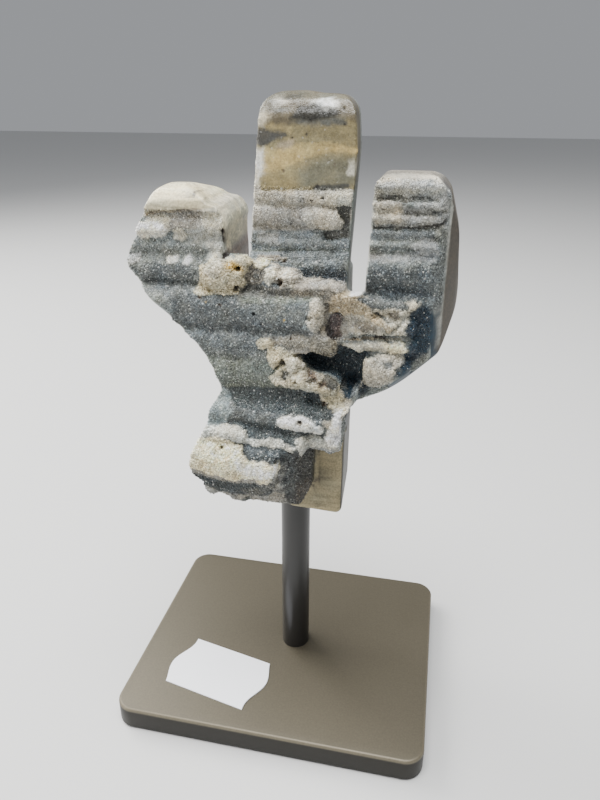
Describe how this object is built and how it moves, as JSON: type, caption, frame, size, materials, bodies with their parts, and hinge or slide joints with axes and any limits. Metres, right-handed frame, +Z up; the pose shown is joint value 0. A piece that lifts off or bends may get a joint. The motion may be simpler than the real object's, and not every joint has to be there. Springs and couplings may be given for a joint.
{
  "type": "carved stone cactus on a metal stand",
  "caption": "Cactus shape cut from a slab of druzy quartz stalactites, held upright on a steel rod above a rectangular steel base plate.",
  "frame": {"origin": "middle of the base plate's underside", "axes": "+Z up, +X right and -Y towards the front, where the stone's natural crust faces"},
  "size_m": [0.077, 0.0636, 0.1464],
  "materials": {
    "druzy_quartz": "sugary crystal crust, polished on the cut sides",
    "rod_steel": "satin dark bronze lacquer",
    "bronze_steel": "satin bronze lacquer with fine flecks",
    "label_paper": "matt white self-adhesive paper"
  },
  "bodies": {
    "root": {"cactus_stone": "druzy_quartz", "rod": "rod_steel", "base_plate": "bronze_steel", "price_label": "label_paper"}
  },
  "joints": []
}
